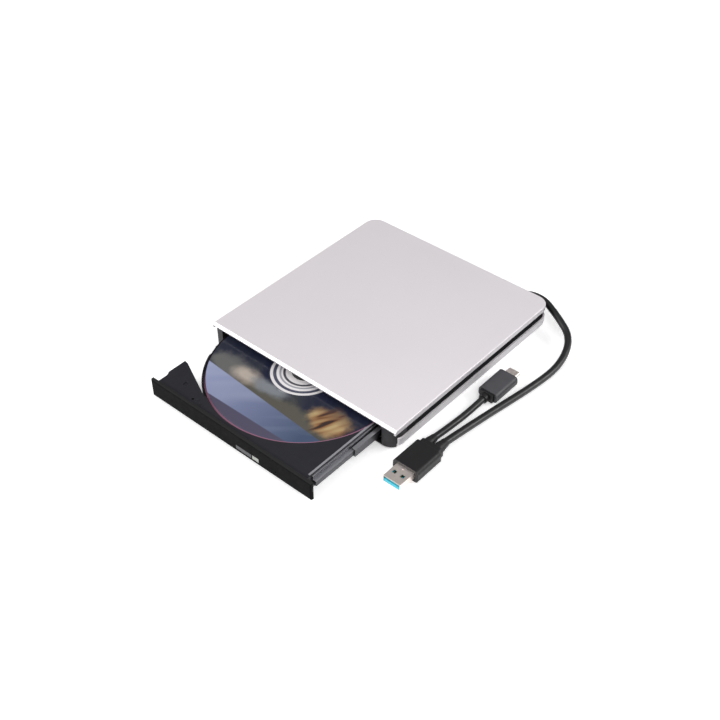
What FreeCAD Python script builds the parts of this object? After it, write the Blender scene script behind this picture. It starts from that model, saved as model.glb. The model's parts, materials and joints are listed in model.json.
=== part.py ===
"""External optical drive: a slim case with a tray drive in it, a USB cable and its two plugs.

Frame: millimetres, +Z up from the surface that the feet stand on, -Y the front that the tray opens towards,
+X to the right as seen from the front. The origin is below the middle of the case and the half open tray.
"""
import FreeCAD, Part
import math
import operator
import os
import Sketcher

Vector = FreeCAD.Vector
doc = FreeCAD.newDocument("OpticalDrive")

# ---------------------------------------------------------------- driving dimensions

DIMENSIONS = {
    "housing_width": 147.0,
    "housing_length": 154.5,
    "housing_height": 17.5,
    "corner_radius": 9.0,
    "front_corner_radius": 8.0,
    "left_corner_radius": 4.0,
    "shell_wall": 1.1,
    "foot_height": 0.9,
    "foot_radius": 5.0,
    "upper_lip": 3.3,
    "front_lip": 2.0,
    "lower_lip_top": 8.2,
    "sill_depth": 4.5,
    "lower_edge_radius": 3.5,
    "groove_depth": 5.2,
    "frame_wall": 2.0,
    "case_screw_radius": 0.8,
    "tray_out": 58.0,
    "drive_width": 128.0,
    "drive_height": 12.7,
    "drive_length": 127.6,
    "drive_bottom": 2.6,
    "drive_offset": -1.1,
    "sheet_metal": 0.6,
    "bezel_depth": 5.0,
    "bezel_plate": 2.2,
    "bezel_height": 12.7,
    "disc_radius": 60.0,
    "disc_thickness": 1.2,
    "disc_hole_radius": 7.5,
    "disc_setback": 66.6,
    "disc_offset": -3.6,
    "disc_bottom": 10.3,
    "tray_top": 12.9,
    "tray_length": 120.0,
    "tray_floor_top": 9.4,
    "tray_underside": 4.1,
    "rail_gap": 0.3,
    "rail_wall": 0.6,
    "cable_radius": 2.3,
    "pigtail_radius": 2.1,
    "cable_height": 11.3,
}

sheet = doc.addObject("Spreadsheet::Sheet", "Sizes")
for row, (alias, number) in enumerate(DIMENSIONS.items(), start=1):
    sheet.set(f"A{row}", alias)
    sheet.set(f"B{row}", str(number))
    sheet.setAlias(f"B{row}", alias)
doc.recompute()

OPERATIONS = {"+": operator.add, "-": operator.sub, "*": operator.mul, "/": operator.truediv}


class Size:
    """A length that carries its value and the spreadsheet formula that gives it."""

    def __init__(self, value, formula=None):
        self.value = float(value)
        self.formula = formula or f"{self.value:.4f}"

    def combine(self, sign, other, swapped=False):
        left, right = self, as_size(other)
        if swapped:
            left, right = right, left
        value = OPERATIONS[sign](left.value, right.value)
        return Size(value, f"({left.formula} {sign} {right.formula})")

    def __add__(self, other):
        return self.combine("+", other)

    def __radd__(self, other):
        return self.combine("+", other, swapped=True)

    def __sub__(self, other):
        return self.combine("-", other)

    def __rsub__(self, other):
        return self.combine("-", other, swapped=True)

    def __mul__(self, other):
        return self.combine("*", other)

    def __rmul__(self, other):
        return self.combine("*", other, swapped=True)

    def __truediv__(self, other):
        return self.combine("/", other)

    def __neg__(self):
        return self.combine("-", 0, swapped=True)

    def __float__(self):
        return self.value


def as_size(length):
    return length if isinstance(length, Size) else Size(length)


def size_of(alias):
    return Size(DIMENSIONS[alias], f"Sizes.{alias}")


def bind(item, prop, length):
    """Ties one property to the spreadsheet."""
    item.setExpression(prop, as_size(length).formula)


# ---------------------------------------------------------------- main planes and centres

half_width = size_of("housing_width") / 2
front = (size_of("tray_out") - size_of("housing_length")) / 2
rear = front + size_of("housing_length")
height = size_of("housing_height")
wall = size_of("shell_wall")
case_bottom = size_of("foot_height")
case_floor = case_bottom + wall
plate_underside = height - wall
upper_lip_bottom = height - size_of("upper_lip")
front_lip_bottom = height - size_of("front_lip")
lower_lip_top = size_of("lower_lip_top")
groove_depth = size_of("groove_depth")
groove_side = half_width - groove_depth
groove_rear = rear - groove_depth
frame_inset = wall + 0.4

sheet_metal = size_of("sheet_metal")
drive_left = size_of("drive_offset") - size_of("drive_width") / 2
drive_right = size_of("drive_offset") + size_of("drive_width") / 2
drive_bottom = size_of("drive_bottom")
drive_top = drive_bottom + size_of("drive_height")
drive_rear = front + size_of("drive_length")
chassis_front = front + size_of("bezel_depth") + 0.2
pan_top = drive_bottom + sheet_metal
cover_underside = drive_top - sheet_metal

bezel_front = front - size_of("tray_out")
plate_back = bezel_front + size_of("bezel_plate")
tray_front = bezel_front + size_of("bezel_depth")
tray_rear = tray_front + size_of("tray_length")
tray_top = size_of("tray_top")
tray_floor_top = size_of("tray_floor_top")
tray_floor_underside = tray_floor_top - 1.0
tray_underside = size_of("tray_underside")
tray_left = Size(-59.5)
tray_right = Size(57.3)

disc_x = size_of("disc_offset")
disc_y = bezel_front + size_of("disc_setback")
disc_bottom = size_of("disc_bottom")
disc_top = disc_bottom + size_of("disc_thickness")
disc_radius = size_of("disc_radius")

# ---------------------------------------------------------------- helpers

nodes = {}

ROTATIONS = {
    "x": FreeCAD.Rotation(Vector(0, 1, 0), 90),
    "y": FreeCAD.Rotation(Vector(1, 0, 0), -90),
    "z": FreeCAD.Rotation(),
}
TRACK_TURN = FreeCAD.Rotation(Vector(0, 0, 1), -45)


def node(item, name):
    """Makes an object one of the drive's pieces."""
    item.Label = name
    nodes[name] = item
    return item


def box(name, x, y, z):
    """A block between a low and a high limit on each axis."""
    block = doc.addObject("Part::Box", name)
    for axis, side, (low, high) in zip("xyz", ("Length", "Width", "Height"), (x, y, z)):
        bind(block, side, as_size(high) - low)
        bind(block, f"Placement.Base.{axis}", low)
    return block


def cylinder(name, centre, radius, length, axis="z"):
    """A cylinder that starts at a centre and runs along an axis."""
    rod = doc.addObject("Part::Cylinder", name)
    rod.Placement = FreeCAD.Placement(Vector(), ROTATIONS[axis])
    bind(rod, "Radius", radius)
    bind(rod, "Height", length)
    for letter, place in zip("xyz", centre):
        bind(rod, f"Placement.Base.{letter}", place)
    return rod


def cone(name, centre, radius, end_radius, length, axis="z"):
    taper = doc.addObject("Part::Cone", name)
    taper.Placement = FreeCAD.Placement(Vector(), ROTATIONS[axis])
    bind(taper, "Radius1", radius)
    bind(taper, "Radius2", end_radius)
    bind(taper, "Height", length)
    for letter, place in zip("xyz", centre):
        bind(taper, f"Placement.Base.{letter}", place)
    return taper


def fuse(name, *pieces):
    whole = doc.addObject("Part::MultiFuse", name)
    whole.Shapes = list(pieces)
    whole.Refine = True
    return whole


def group(name, *pieces):
    """Separate solids that count as one piece, such as a set of screws."""
    together = doc.addObject("Part::Compound", name)
    together.Links = list(pieces)
    return together


def cut(name, base, *tools):
    remainder = doc.addObject("Part::Cut", name)
    remainder.Base = base
    remainder.Tool = tools[0] if len(tools) == 1 else fuse(f"{name}_tools", *tools)
    remainder.Refine = True
    return remainder


def place_on_track(item):
    """Moves a piece drawn at the spindle, with its track along +X, to the tray's diagonal track."""
    item.Placement = FreeCAD.Placement(Vector(), TRACK_TURN)
    bind(item, "Placement.Base.x", disc_x)
    bind(item, "Placement.Base.y", disc_y)
    return item


def polygon(sketch, corners):
    """A closed outline whose every corner is tied to the spreadsheet."""
    start = sketch.GeometryCount
    places = [Vector(float(x), float(y), 0) for x, y in corners]
    count = len(places)
    for index in range(count):
        sketch.addGeometry(Part.LineSegment(places[index], places[(index + 1) % count]), False)
    for index in range(count):
        line, following = start + index, start + (index + 1) % count
        sketch.addConstraint(Sketcher.Constraint("Coincident", line, 2, following, 1))
    for index, (x, y) in enumerate(corners):
        for direction, place in (("DistanceX", x), ("DistanceY", y)):
            number = sketch.addConstraint(
                Sketcher.Constraint(direction, -1, 1, start + index, 1, float(place))
            )
            bind(sketch, f"Constraints[{number}]", place)


def rectangle(sketch, x, y):
    polygon(sketch, [(x[0], y[0]), (x[1], y[0]), (x[1], y[1]), (x[0], y[1])])


def prism(name, corners, z):
    """A polygon drawn flat and raised from a low to a high level."""
    outline = doc.addObject("Sketcher::SketchObject", f"{name}_outline")
    polygon(outline, corners)
    bind(outline, "Placement.Base.z", z[0])
    solid = doc.addObject("Part::Extrusion", name)
    solid.Base = outline
    solid.DirMode = "Custom"
    solid.Dir = Vector(0, 0, 1)
    bind(solid, "LengthFwd", as_size(z[1]) - z[0])
    solid.Solid = True
    return solid


def origin_plane(body, role):
    return next(plane for plane in body.Origin.OriginFeatures if plane.Role == role)


def sketch_in(body, name, role="XY_Plane", level=0.0):
    sketch = body.newObject("Sketcher::SketchObject", name)
    sketch.AttachmentSupport = [(origin_plane(body, role), "")]
    sketch.MapMode = "FlatFace"
    bind(sketch, "AttachmentOffset.Base.z", level)
    return sketch


def pad(body, sketch, length):
    feature = body.newObject("PartDesign::Pad", f"{body.Name}_pad")
    feature.Profile = sketch
    bind(feature, "Length", length)
    sketch.Visibility = False
    doc.recompute()
    return feature


def pocket(body, sketch, length):
    """Cuts upwards from a sketch, and makes sure that something was cut."""
    before = body.Shape.Volume
    feature = body.newObject("PartDesign::Pocket", f"{body.Name}_pocket")
    feature.Profile = sketch
    feature.Reversed = True
    bind(feature, "Length", length)
    doc.recompute()
    if body.Shape.Volume > before - 0.01:
        raise RuntimeError(f"{feature.Name} cuts nothing")
    return feature


def revolve(name, profile):
    """A body turned about the vertical axis from a profile of (radius, level) corners."""
    body = doc.addObject("PartDesign::Body", name)
    sketch = sketch_in(body, f"{name}_profile", "XZ_Plane")
    polygon(sketch, profile)
    feature = body.newObject("PartDesign::Revolution", f"{name}_turned")
    feature.Profile = sketch
    feature.ReferenceAxis = (sketch, ["V_Axis"])
    feature.Angle = 360
    doc.recompute()
    return body


def edge_names(feature, wanted):
    """Names of the edges whose midpoint and direction pass a test."""
    names = []
    for number, edge in enumerate(feature.Shape.Edges, start=1):
        middle = edge.valueAt((edge.FirstParameter + edge.LastParameter) / 2)
        along = edge.tangentAt((edge.FirstParameter + edge.LastParameter) / 2)
        if wanted(middle, along):
            names.append(f"Edge{number}")
    return names


def dress(body, kind, size, wanted):
    """Fillets or chamfers the chosen edges of a body's tip."""
    base = body.Tip
    feature = body.newObject(f"PartDesign::{kind}", f"{body.Name}_{kind.lower()}")
    feature.Base = (base, edge_names(base, wanted))
    bind(feature, "Radius" if kind == "Fillet" else "Size", size)
    doc.recompute()
    return feature


def upright(middle, along):
    return abs(along.z) > 0.99


def hollow(body, open_level):
    """Leaves a wall of even thickness, open at the flat face on one level."""
    base = body.Tip
    faces = [
        f"Face{number}"
        for number, face in enumerate(base.Shape.Faces, start=1)
        if face.BoundBox.ZLength < 0.01 and abs(face.BoundBox.ZMin - float(open_level)) < 0.01
    ]
    feature = body.newObject("PartDesign::Thickness", f"{body.Name}_thickness")
    feature.Base = (base, faces)
    bind(feature, "Value", wall)
    feature.Reversed = True
    doc.recompute()
    return feature


# ---------------------------------------------------------------- case

case_screw_places = [
    (-half_width + 4.7, front + 5.75),
    (half_width - 5.7, front + 5.75),
    (-half_width + 11.5, rear - 11.25),
    (half_width - 15.5, rear - 14.25),
]
screw_radius = size_of("case_screw_radius")
boss_radius = screw_radius + 1.4
boss_meeting = case_bottom + 5.1


def with_bosses(shell, name, low, high, bore_radius, bore):
    """Adds a boss at each case screw to a shell, then bores each boss."""
    bosses = [
        cylinder(f"{name}_boss_{n}", (x, y, low), boss_radius, as_size(high) - low)
        for n, (x, y) in enumerate(case_screw_places)
    ]
    bores = [
        cylinder(f"{name}_bore_{n}", (x, y, bore[0]), bore_radius, as_size(bore[1]) - bore[0])
        for n, (x, y) in enumerate(case_screw_places)
    ]
    return fuse(f"{name}_bossed", shell, *bosses), bores


def build_top_shell():
    body = doc.addObject("PartDesign::Body", "top_plate")
    sketch = sketch_in(body, "top_outline", level=upper_lip_bottom)
    rectangle(sketch, (-half_width, half_width), (front, rear))
    pad(body, sketch, size_of("upper_lip"))
    dress(body, "Fillet", size_of("corner_radius"), lambda at, way: upright(at, way) and at.y > 0)
    hollow(body, upper_lip_bottom)
    top = float(height)
    front_edge = float(front)
    dress(body, "Chamfer", 1.4, lambda at, way: at.z > top - 0.01 and at.y < front_edge + 0.01)
    dress(body, "Fillet", 0.9, lambda at, way: at.z > top - 0.01 and at.y > front_edge + 2)
    slot = sketch_in(body, "front_lip_cut", level=upper_lip_bottom)
    rectangle(slot, (-half_width + wall, half_width - wall), (front - 1, front + wall + 0.5))
    pocket(body, slot, front_lip_bottom - upper_lip_bottom)
    bore = boss_meeting, height - 3
    bossed, bores = with_bosses(
        body, "top", boss_meeting + 0.2, plate_underside + 0.4, screw_radius + 0.05, bore
    )
    node(cut("top_shell", bossed, *bores), "top_shell")


def build_bottom_shell():
    body = doc.addObject("PartDesign::Body", "bottom_tub")
    sketch = sketch_in(body, "bottom_outline", level=case_bottom)
    rectangle(sketch, (-half_width, half_width), (front, rear))
    pad(body, sketch, lower_lip_top - case_bottom)
    front_edge, low = float(front), float(case_bottom)
    dress(body, "Fillet", size_of("corner_radius"), lambda at, way: upright(at, way) and at.y > 0)
    at_front = lambda at, way: upright(at, way) and at.y < front_edge + 0.1
    dress(body, "Fillet", size_of("front_corner_radius"), lambda at, way: at_front(at, way) and at.x > 0)
    dress(body, "Fillet", size_of("left_corner_radius"), lambda at, way: at_front(at, way) and at.x < 0)
    dress(body, "Fillet", size_of("lower_edge_radius"), lambda at, way: at.z < low + 0.01)
    hollow(body, lower_lip_top)
    mouth = sketch_in(body, "front_mouth", level=case_bottom - 1)
    rectangle(mouth, (-half_width - 1, half_width + 1), (front - 1, front + size_of("sill_depth")))
    pocket(body, mouth, height)
    bore = case_bottom - 1, boss_meeting + 1
    bossed, bores = with_bosses(
        body, "bottom", case_floor - 0.4, boss_meeting, screw_radius + 0.1, bore
    )
    recesses = [
        cylinder(f"head_recess_{n}", (x, y, case_bottom - 1), screw_radius + 0.75, 2.6)
        for n, (x, y) in enumerate(case_screw_places)
    ]
    standoffs = [
        cylinder(f"standoff_{n}", (x, y, case_floor - 0.4), 2.0, board_bottom - case_floor + 0.4)
        for n, (x, y) in enumerate(board_screw_places)
    ]
    whole = fuse("bottom_with_standoffs", bossed, *standoffs)
    node(cut("bottom_shell", whole, *bores, *recesses), "bottom_shell")


def round_frame_corners(body):
    """Every upright corner but the front left one follows the case's large radius."""
    front_left = lambda at, way: upright(at, way) and at.x < 0 and at.y < float(front) + 1
    others = lambda at, way: upright(at, way) and not front_left(at, way)
    dress(body, "Fillet", size_of("front_corner_radius"), others)
    dress(body, "Fillet", size_of("left_corner_radius") - 1, front_left)


def front_sill(outer_x):
    """The frame's lowest front bar, in front of the bottom shell's floor, with a foot under each post."""
    body = doc.addObject("PartDesign::Body", "frame_sill")
    outline = sketch_in(body, "sill_outline", level=case_bottom)
    rectangle(outline, (-outer_x, outer_x), (front + 0.3, front + 20))
    pad(body, outline, case_floor + 2.1 - case_bottom)
    round_frame_corners(body)
    behind = sketch_in(body, "room_behind_sill", level=case_bottom - 1)
    rectangle(behind, (-half_width, half_width), (front + size_of("sill_depth") - 0.1, front + 21))
    pocket(body, behind, height)
    room = sketch_in(body, "room_over_sill", level=case_floor - 0.4)
    rectangle(room, (drive_left - 0.4, drive_right + 0.4), (front - 1, front + 21))
    pocket(body, room, height)
    return body


def build_mid_frame():
    body = doc.addObject("PartDesign::Body", "frame_ring")
    outer_x = half_width - frame_inset
    outer_rear = rear - frame_inset
    frame_bottom = case_floor + 0.1
    frame_top = plate_underside - 0.1
    sketch = sketch_in(body, "frame_outline", level=frame_bottom)
    rectangle(sketch, (-outer_x, outer_x), (front + 0.3, outer_rear))
    pad(body, sketch, frame_top - frame_bottom)
    round_frame_corners(body)
    dress(body, "Fillet", 1.8, lambda at, way: at.z < float(frame_bottom) + 0.01)

    inner_side = groove_side - size_of("frame_wall")
    inner_rear = groove_rear - size_of("frame_wall")
    far_left = -outer_x + size_of("frame_wall")
    far_rear = outer_rear - size_of("frame_wall")
    room_corner = size_of("corner_radius") / 2
    room = sketch_in(body, "frame_room", level=frame_bottom - 1)
    polygon(room, [
        (drive_left - 0.4, front - 1),
        (drive_right + 0.4, front - 1),
        (drive_right + 0.4, front + 10),
        (inner_side, front + 10),
        (inner_side, inner_rear),
        (gland_wall_start, inner_rear),
        (gland_wall_start, far_rear),
        (far_left + room_corner, far_rear),
        (far_left, far_rear - room_corner),
        (far_left, front + 10),
        (drive_left - 0.4, front + 10),
    ])
    pocket(body, room, height)
    lip = sketch_in(body, "front_lip_room", level=front_lip_bottom - 0.1)
    rectangle(lip, (-half_width, half_width), (front - 1, front + wall + 0.3))
    pocket(body, lip, height)

    groove = sketch_in(body, "cable_groove", level=lower_lip_top)
    polygon(groove, [
        (groove_side, front + 12),
        (half_width + 2, front + 12),
        (half_width + 2, rear + 2),
        (gland_wall_end, rear + 2),
        (gland_wall_end, groove_rear),
        (groove_side, groove_rear),
    ])
    pocket(body, groove, upper_lip_bottom - lower_lip_top)
    corner = float(groove_side), float(groove_rear)
    dress(body, "Fillet", 4.0, lambda at, way: upright(at, way) and math.dist(corner, (at.x, at.y)) < 0.1)

    clearances = [
        cylinder(f"frame_boss_room_{n}", (x, y, 0), boss_radius + 0.25, height)
        for n, (x, y) in enumerate(case_screw_places[:2])
    ]
    gland_bore = cylinder(
        "gland_bore", (gland_wall_start - 1, cable_y, cable_z), gland_radius + 0.05, 10, "x"
    )
    with_sill = fuse("frame_with_sill", body, front_sill(outer_x))
    node(cut("mid_frame", with_sill, *clearances, gland_bore), "mid_frame")


def build_feet_and_screws():
    sides, ends = (-half_width + 13.5, half_width - 13.5), (front + 14.25, rear - 16.25)
    spots = [(x, y) for x in sides for y in ends]
    foot_radius = size_of("foot_radius")
    feet = [cylinder(f"foot_{n}", (x, y, 0), foot_radius, case_bottom) for n, (x, y) in enumerate(spots)]
    node(group("rubber_feet", *feet), "rubber_feet")
    screws = []
    for n, (x, y) in enumerate(case_screw_places):
        head = cylinder(f"screw_head_{n}", (x, y, case_bottom + 0.4), screw_radius + 0.6, 1.2)
        shank = cylinder(f"screw_shank_{n}", (x, y, case_bottom + 1.6), screw_radius, 10)
        recess = box(f"screw_slot_{n}", (x - 0.9, x + 0.9), (y - 0.2, y + 0.2),
                     (case_bottom - 0.1, case_bottom + 0.8))
        screws.append(cut(f"case_screw_{n}", fuse(f"case_screw_blank_{n}", head, shank), recess))
    node(group("case_screws", *screws), "case_screws")


# ---------------------------------------------------------------- cable outlet and bridge board

gland_wall_start = Size(22.0)
gland_wall_end = Size(30.0)
gland_radius = size_of("cable_radius") + 0.15
cable_y = rear - groove_depth / 2
cable_z = size_of("cable_height")
cable_start = gland_wall_end + 3

board_bottom = Size(3.6)
board_top = board_bottom + 1.2
board_screw_places = [(-28.0, rear - 11.25), (26.0, rear - 11.25)]


def build_gland():
    length = cable_start - gland_wall_start - 1
    sleeve = cylinder("gland_sleeve", (gland_wall_start + 1, cable_y, cable_z), gland_radius, length, "x")
    rings = []
    for n in range(3):
        at = gland_wall_end + 0.4 + 0.9 * n
        ring = cylinder(f"gland_ring_{n}", (at, cable_y, cable_z), gland_radius + 1, 0.3, "x")
        rings.append(cut(f"gland_notch_{n}", ring, cylinder(
            f"gland_core_{n}", (at - 0.1, cable_y, cable_z), gland_radius - 0.25, 0.5, "x"
        )))
    node(cut("cable_gland", sleeve, *rings), "cable_gland")


def build_bridge_board():
    edge = board_bottom, board_top
    blank = box("bridge_blank", (-32, 30), (rear - 21.5, rear - 7.5), edge)
    holes = [
        cylinder(f"bridge_hole_{n}", (x, y, board_bottom - 1), 1.1, 3)
        for n, (x, y) in enumerate(board_screw_places)
    ]
    node(cut("bridge_board", blank, *holes), "bridge_board")
    chips = [
        box("bridge_chip", (-8, 1), (rear - 14.5, rear - 8.5), (board_top, board_top + 1.2)),
        box("bridge_crystal", (4, 8), (rear - 13.5, rear - 11), (board_top, board_top + 1.0)),
        box("bridge_regulator", (12, 17), (rear - 13.5, rear - 9.5), (board_top, board_top + 1.5)),
        box("bridge_coil", (-20, -15), (rear - 14, rear - 9), (board_top, board_top + 2.4)),
    ]
    node(group("bridge_chips", *chips), "bridge_chips")
    heads = [
        cylinder(f"board_screw_{n}", (x, y, board_top), 1.8, 0.9)
        for n, (x, y) in enumerate(board_screw_places)
    ]
    node(group("board_screws", *heads), "board_screws")
    socket = box("socket_blank", (-20, 16), (drive_rear + 2.65, drive_rear + 8.65),
                 (board_top, board_top + 4.4))
    mouth = box("socket_mouth", (-18.5, 14.5), (drive_rear + 2, drive_rear + 4.65),
                (board_top + 1.2, board_top + 3.2))
    node(cut("sata_socket", socket, mouth), "sata_socket")


# ---------------------------------------------------------------- cable and plugs

CABLE_ROUTE = [
    (33.0, 103.65, 11.3),
    (44.0, 103.65, 11.3),
    (61.0, 114.1, 11.3),
    (80.5, 104.45, 9.8),
    (96.2, 95.8, 6.2),
    (103.1, 75.2, 2.6),
    (101.9, 50.2, 2.35),
    (93.9, 2.2, 2.35),
    (91.6, -25.5, 4.3),
]
PIGTAIL_ROUTE = [
    (84.6, -26.5, 4.3),
    (84.9, -12.0, 2.6),
    (85.7, 4.0, 2.4),
    (86.0, 17.5, 3.5),
]
plug_a_x = Size(88.5)
plug_a_tip = Size(-69.5)
plug_a_z = Size(4.3)
plug_c_x = Size(86.0)
plug_c_z = Size(3.5)


def cord(name, route, radius):
    """A round cord along straight runs joined by tangent arcs as large as the runs allow."""
    points = [Vector(*place) for place in route]
    edges, start, radii = [], points[0], []
    for before, corner, after in zip(points, points[1:], points[2:]):
        back, onward = (before - corner), (after - corner)
        reach = 0.45 * min(back.Length, onward.Length)
        turn = math.pi - back.getAngle(onward)
        radii.append(reach / math.tan(turn / 2))
        back.normalize()
        onward.normalize()
        bisector = (back + onward).normalize()
        first, last = corner + back * reach, corner + onward * reach
        depth = radii[-1] * (1 / math.cos(turn / 2) - 1)
        edges.append(Part.LineSegment(start, first).toShape())
        edges.append(Part.Arc(first, corner + bisector * depth, last).toShape())
        start = last
    edges.append(Part.LineSegment(start, points[-1]).toShape())
    spine = Part.Wire(edges)
    section = Part.Wire(Part.Circle(points[0], points[1] - points[0], radius).toShape())
    tube = spine.makePipeShell([section], True, False)
    expected = math.pi * radius**2 * spine.Length
    print(name, "radii", [round(value, 1) for value in radii], "length", round(spine.Length, 1),
          "volume ratio", round(tube.Volume / expected, 4))
    piece = doc.addObject("Part::Feature", name)
    piece.Shape = tube
    return node(piece, name)


def relief(name, x, y, z, radius, length):
    """A tapered strain relief around a cord, with a step at its root."""
    root = cylinder(f"{name}_root", (x, y, z), radius + 1.0, length * 0.45, "y")
    taper = cone(f"{name}_taper", (x, y + length * 0.45, z), radius + 0.8, radius + 0.3, length * 0.55, "y")
    return [root, taper]


def moulding(name, x, y, z, side_radius):
    """A rounded plug body: a block whose lengthwise edges are filleted."""
    body = doc.addObject("PartDesign::Body", name)
    sketch = sketch_in(body, f"{name}_outline", level=z[0])
    rectangle(sketch, x, y)
    pad(body, sketch, as_size(z[1]) - z[0])
    dress(body, "Fillet", side_radius, lambda at, way: abs(way.y) > 0.99)
    return body


def build_usb_a():
    back = plug_a_tip + 12
    cord_end = back + 24
    body = moulding("plug_a_grip", (plug_a_x - 9, plug_a_x + 9), (back, cord_end - 3.5),
                    (0, plug_a_z * 2), 2.6)
    step = moulding("plug_a_step", (plug_a_x - 7.6, plug_a_x + 7.6), (cord_end - 4, cord_end),
                    (0.7, plug_a_z * 2 - 0.7), 2.2)
    reliefs = relief("main_relief", 91.6, cord_end, plug_a_z, size_of("cable_radius"), 8.0)
    reliefs += relief("second_relief", 84.6, cord_end, plug_a_z, size_of("pigtail_radius"), 7.0)
    node(fuse("usb_a_overmould", body, step, *reliefs), "usb_a_overmould")

    side, metal = (plug_a_x - 6, plug_a_x + 6), 0.3
    low, high = plug_a_z - 2.25, plug_a_z + 2.25
    outer = box("shell_a_outer", side, (plug_a_tip, back), (low, high))
    inner = box("shell_a_inner", (side[0] + metal, side[1] - metal), (plug_a_tip - 1, back - metal),
                (low + metal, high - metal))
    windows = [
        box(f"shell_a_window_{n}", (plug_a_x + at - 1.15, plug_a_x + at + 1.15),
            (plug_a_tip + 5, plug_a_tip + 7.3), (low - 1, high + 1))
        for n, at in enumerate((-2.8, 2.8))
    ]
    crimp = cylinder("shell_a_crimp", (plug_a_x, plug_a_tip + 9.8, high - 0.15), 0.8, 1)
    node(cut("usb_a_shell", outer, inner, crimp, *windows), "usb_a_shell")
    tongue = box("usb_a_tongue", (side[0] + 0.5, side[1] - 0.5), (plug_a_tip + 0.3, back - metal),
                 (low + metal, low + metal + 1.8))
    node(tongue, "usb_a_tongue")
    contacts = [
        box(f"usb_a_contact_{n}", (plug_a_x + at - 0.55, plug_a_x + at + 0.55),
            (plug_a_tip + 1.5, plug_a_tip + 9), (low + metal + 1.8, low + metal + 1.95))
        for n, at in enumerate((-3.6, -1.2, 1.2, 3.6))
    ]
    node(group("usb_a_contacts", *contacts), "usb_a_contacts")


def build_usb_c():
    start = 17.5
    collar = [
        cylinder("collar_ring", (plug_c_x, start, plug_c_z), 2.9, 2.2, "y"),
        cylinder("collar_neck", (plug_c_x, start + 2.2, plug_c_z), 2.5, 1.0, "y"),
        box("collar_block", (plug_c_x - 4.6, plug_c_x + 4.6), (start + 3.2, start + 5.2), (0.6, 6.4)),
    ]
    node(fuse("usb_c_collar", *collar), "usb_c_collar")
    back, tip = start + 5.2, start + 26.0
    body = moulding("usb_c_overmould", (plug_c_x - 6.8, plug_c_x + 6.8), (back, tip), (0, plug_c_z * 2), 2.4)
    node(body, "usb_c_overmould")

    def pill(name, half_x, half_z, y, length):
        """A flat tube end: a block with a half cylinder on each side."""
        straight = half_x - half_z
        core = box(f"{name}_core", (plug_c_x - straight, plug_c_x + straight), (y, y + length),
                   (plug_c_z - half_z, plug_c_z + half_z))
        ends = [
            cylinder(f"{name}_side_{n}", (plug_c_x + sign * straight, y, plug_c_z), half_z, length, "y")
            for n, sign in enumerate((-1, 1))
        ]
        return fuse(name, core, *ends)

    outer = pill("shell_c_outer", 4.17, 1.28, tip, 6.65)
    inner = pill("shell_c_inner", 3.87, 0.98, tip + 0.3, 7.0)
    node(cut("usb_c_shell", outer, inner), "usb_c_shell")


# ---------------------------------------------------------------- drive, fixed half

def build_chassis():
    ends = chassis_front, drive_rear
    outer = box("pan_outer", (drive_left, drive_right), ends, (drive_bottom, cover_underside))
    inner = box("pan_inner", (drive_left + sheet_metal, drive_right - sheet_metal),
                (chassis_front - 1, drive_rear - sheet_metal), (pan_top, height))
    notch = box("connector_notch", (-21.3, 17.3), (drive_rear - 2, drive_rear + 1), (pan_top, pan_top + 6.6))
    tabs, holes, cover_holes, screws = [], [], [], []
    tab_size = 5.0
    for n, (x, y) in enumerate(cover_screw_places):
        tabs.append(box(f"cover_tab_{n}", (x - tab_size / 2, x + tab_size / 2),
                        (y - tab_size / 2, y + tab_size / 2), (cover_underside - 0.8, cover_underside)))
        holes.append(cylinder(f"tab_hole_{n}", (x, y, cover_underside - 2), 0.75, 3))
        cover_holes.append(cylinder(f"cover_hole_{n}", (x, y, cover_underside - 1), 0.8, 3))
        head = cylinder(f"cover_screw_head_{n}", (x, y, drive_top), 1.5, 0.5)
        shank = cylinder(f"cover_screw_shank_{n}", (x, y, cover_underside - 0.6), 0.7, 1.2)
        screws.append(fuse(f"cover_screw_{n}", head, shank))
    pan = cut("pan", outer, inner, notch)
    node(cut("drive_chassis", fuse("pan_with_tabs", pan, *tabs), *holes), "drive_chassis")
    lid = box("lid", (drive_left, drive_right), ends, (cover_underside, drive_top))
    node(cut("drive_cover", lid, *cover_holes), "drive_cover")
    node(group("cover_screws", *screws), "cover_screws")


cover_screw_places = [
    (x, y)
    for x in (drive_left + 3.1, drive_right - 3.1)
    for y in (chassis_front + 3.5, drive_rear - 3.1)
]


def build_drive_connector():
    body = box("connector_body", (-21, 17), (drive_rear - 1.95, drive_rear + 2.65),
               (pan_top + 1.2, pan_top + 6.2))
    tongue = box("connector_tongue", (-18, 14), (drive_rear + 2.65, drive_rear + 4.4),
                 (board_top + 1.5, board_top + 2.9))
    node(fuse("drive_connector", body, tongue), "drive_connector")
    flat = box("flex_run", (-44, -30), (disc_y + 55, drive_rear - 1.2), (pan_top, pan_top + 0.15))
    node(flat, "flex_cable")
    post = cylinder("latch_pin", (latch_post_x, latch_post_y, pan_top), 0.6, 2.6)
    flange = cylinder("latch_pin_foot", (latch_post_x, latch_post_y, pan_top), 0.95, 0.35)
    node(fuse("latch_post", post, flange), "latch_post")


# ---------------------------------------------------------------- telescopic rails
# Each side has three nested pieces: a channel on the chassis, a slide rail, and a runner on the tray.

gap = size_of("rail_gap")
metal = size_of("rail_wall")


def channel(name, outward, root, reach, y, z):
    """A rail with a C section that opens towards the tray. root is its back, outward is +1 on the right."""
    mouth = root - outward * reach
    back = root - outward * metal
    outer = box(f"{name}_outer", sorted((root, mouth), key=float), y, z)
    hollow_x = sorted((back, mouth - outward * 1.0), key=float)
    inner = box(f"{name}_inner", hollow_x, (y[0] - 1, y[1] + 1), (z[0] + metal, z[1] - metal))
    return cut(name, outer, inner)


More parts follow.
